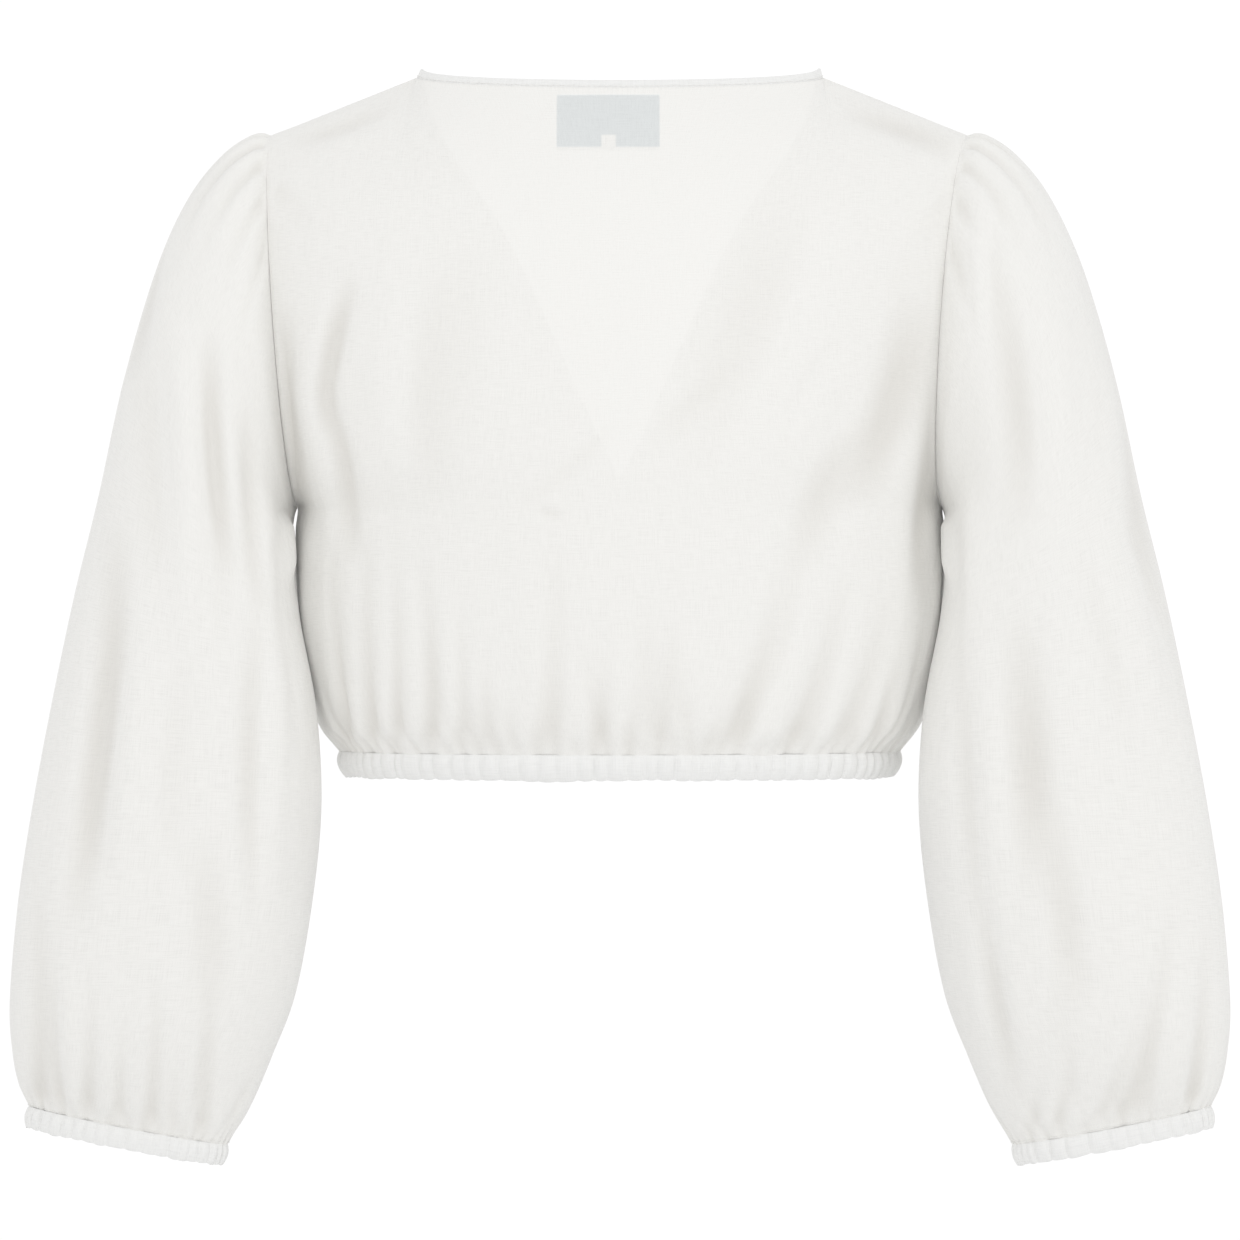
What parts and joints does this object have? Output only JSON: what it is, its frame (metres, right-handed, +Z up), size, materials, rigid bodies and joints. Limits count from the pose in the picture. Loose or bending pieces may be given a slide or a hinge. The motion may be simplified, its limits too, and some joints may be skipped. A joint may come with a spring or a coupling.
{
  "type": "dirndl blouse",
  "caption": "Cropped blouse with full gathered sleeves, narrow neck band, V front and ruched elastic casings at hem and cuffs, filled out as worn.",
  "frame": {"origin": "middle of the two shoulder seams, where the wearer's shoulders carry the blouse", "axes": "+X towards the wearer's right sleeve, +Y out of the wearer's chest, so the back faces -Y, +Z up"},
  "size_m": [0.675, 0.2551, 0.6102],
  "materials": {
    "cloth": "fine white plain weave, matt, a little sheer",
    "label_cloth": "woven satin, grey-blue, bare",
    "tab_cloth": "woven satin, white, bare"
  },
  "bodies": {
    "root": {"back": "cloth", "front": "cloth", "sleeve_left": "cloth", "sleeve_right": "cloth", "neck_band": "cloth", "hem_casing": "cloth", "cuff_left": "cloth", "cuff_right": "cloth", "label": "label_cloth", "size_tab": "tab_cloth"}
  },
  "joints": []
}
